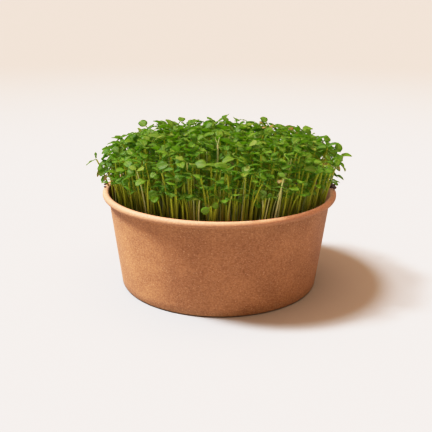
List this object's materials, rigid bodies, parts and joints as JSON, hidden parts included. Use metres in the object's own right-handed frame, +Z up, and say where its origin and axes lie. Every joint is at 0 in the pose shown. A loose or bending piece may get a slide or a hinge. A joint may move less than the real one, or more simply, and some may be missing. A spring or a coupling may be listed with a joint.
{
  "type": "microgreens in a paper bowl",
  "caption": "Round tapered paper bowl with a rolled rim, filled with growing medium and a dense stand of cress seedlings rising above the rim.",
  "frame": {"origin": "centre of the bowl's foot, on the surface it stands on", "axes": "+Z up along the bowl's axis; +X to the right and -Y towards the viewer in the reference view"},
  "size_m": [0.154, 0.151, 0.0972],
  "materials": {
    "kraft_paper": "matt",
    "soil": "rough",
    "greens": "satin"
  },
  "bodies": {
    "root": {"bowl_wall": "kraft_paper", "bowl_base": "kraft_paper", "growing_medium": "soil", "seedling_tuft_01": "greens", "seedling_tuft_02": "greens", "seedling_tuft_03": "greens", "seedling_tuft_04": "greens", "seedling_tuft_05": "greens", "seedling_tuft_06": "greens", "seedling_tuft_07": "greens", "seedling_tuft_08": "greens", "seedling_tuft_09": "greens", "seedling_tuft_10": "greens", "seedling_tuft_11": "greens", "seedling_tuft_12": "greens", "seedling_tuft_13": "greens", "seedling_tuft_14": "greens", "seedling_tuft_15": "greens", "seedling_tuft_16": "greens", "seedling_tuft_17": "greens", "seedling_tuft_18": "greens", "seedling_tuft_19": "greens", "seedling_tuft_20": "greens", "seedling_tuft_21": "greens", "seedling_tuft_22": "greens", "seedling_tuft_23": "greens", "seedling_tuft_24": "greens", "seedling_tuft_25": "greens", "seedling_tuft_26": "greens", "seedling_tuft_27": "greens", "seedling_tuft_28": "greens", "seedling_tuft_29": "greens", "seedling_tuft_30": "greens", "seedling_tuft_31": "greens", "seedling_tuft_32": "greens", "seedling_tuft_33": "greens", "seedling_tuft_34": "greens", "seedling_tuft_35": "greens", "seedling_tuft_36": "greens", "seedling_tuft_37": "greens", "seedling_tuft_38": "greens", "seedling_tuft_39": "greens", "seedling_tuft_40": "greens", "seedling_tuft_41": "greens", "seedling_tuft_42": "greens", "seedling_tuft_43": "greens", "seedling_tuft_44": "greens", "seedling_tuft_45": "greens", "seedling_tuft_46": "greens", "seedling_tuft_47": "greens"}
  },
  "joints": []
}
